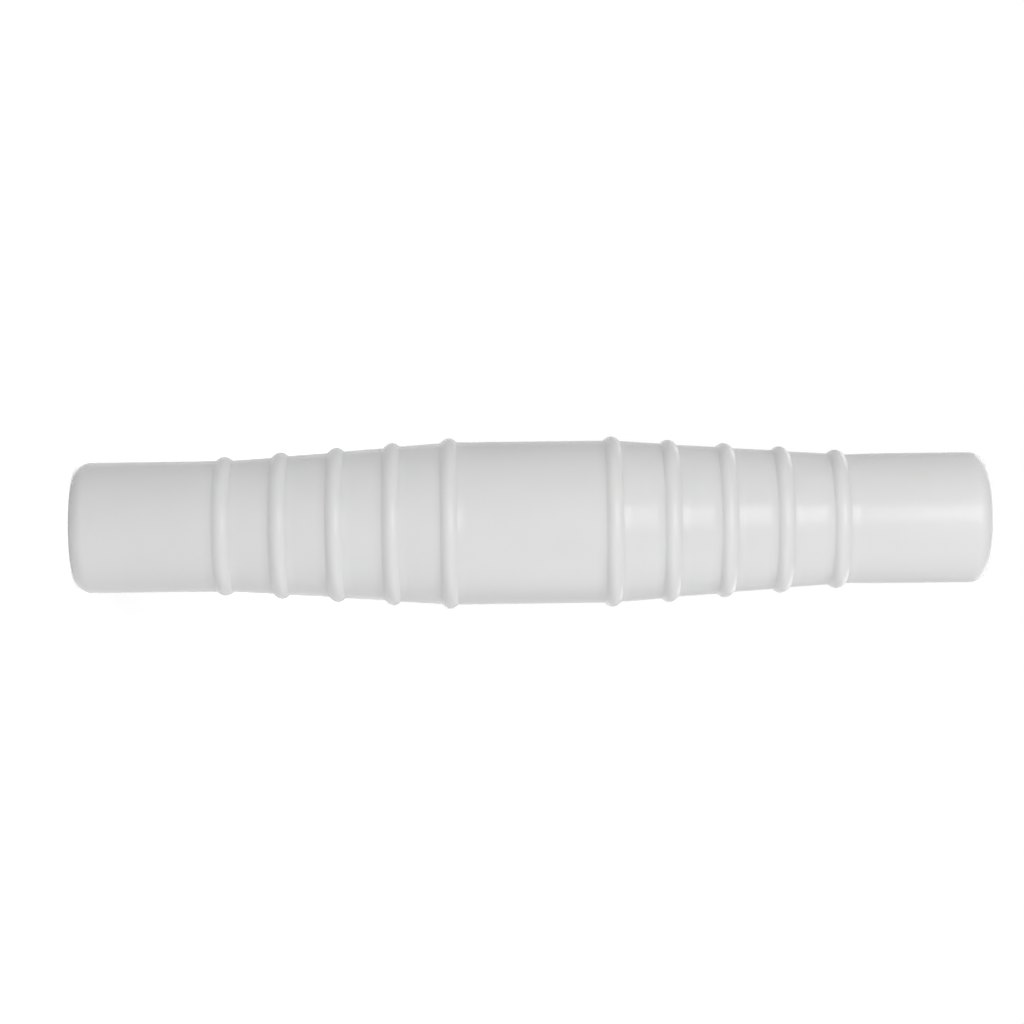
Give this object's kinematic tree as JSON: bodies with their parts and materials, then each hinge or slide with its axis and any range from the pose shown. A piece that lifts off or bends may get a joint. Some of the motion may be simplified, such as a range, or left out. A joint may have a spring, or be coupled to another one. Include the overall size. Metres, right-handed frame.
{
  "type": "pool hose adapter",
  "caption": "Hollow double-ended hose adapter with plain ends, ringed tapers and a plain middle barrel, open from end to end, to join pool hoses.",
  "frame": {"origin": "centre of the lower end, in the plane of its rim", "axes": "+Z along the tube from the lower end to the upper end, +X across it"},
  "size_m": [0.0416, 0.0416, 0.2217],
  "materials": {
    "white_plastic": "smooth moulded polyethylene with a soft satin sheen"
  },
  "bodies": {
    "root": {"hose_adapter": "white_plastic"}
  },
  "joints": []
}
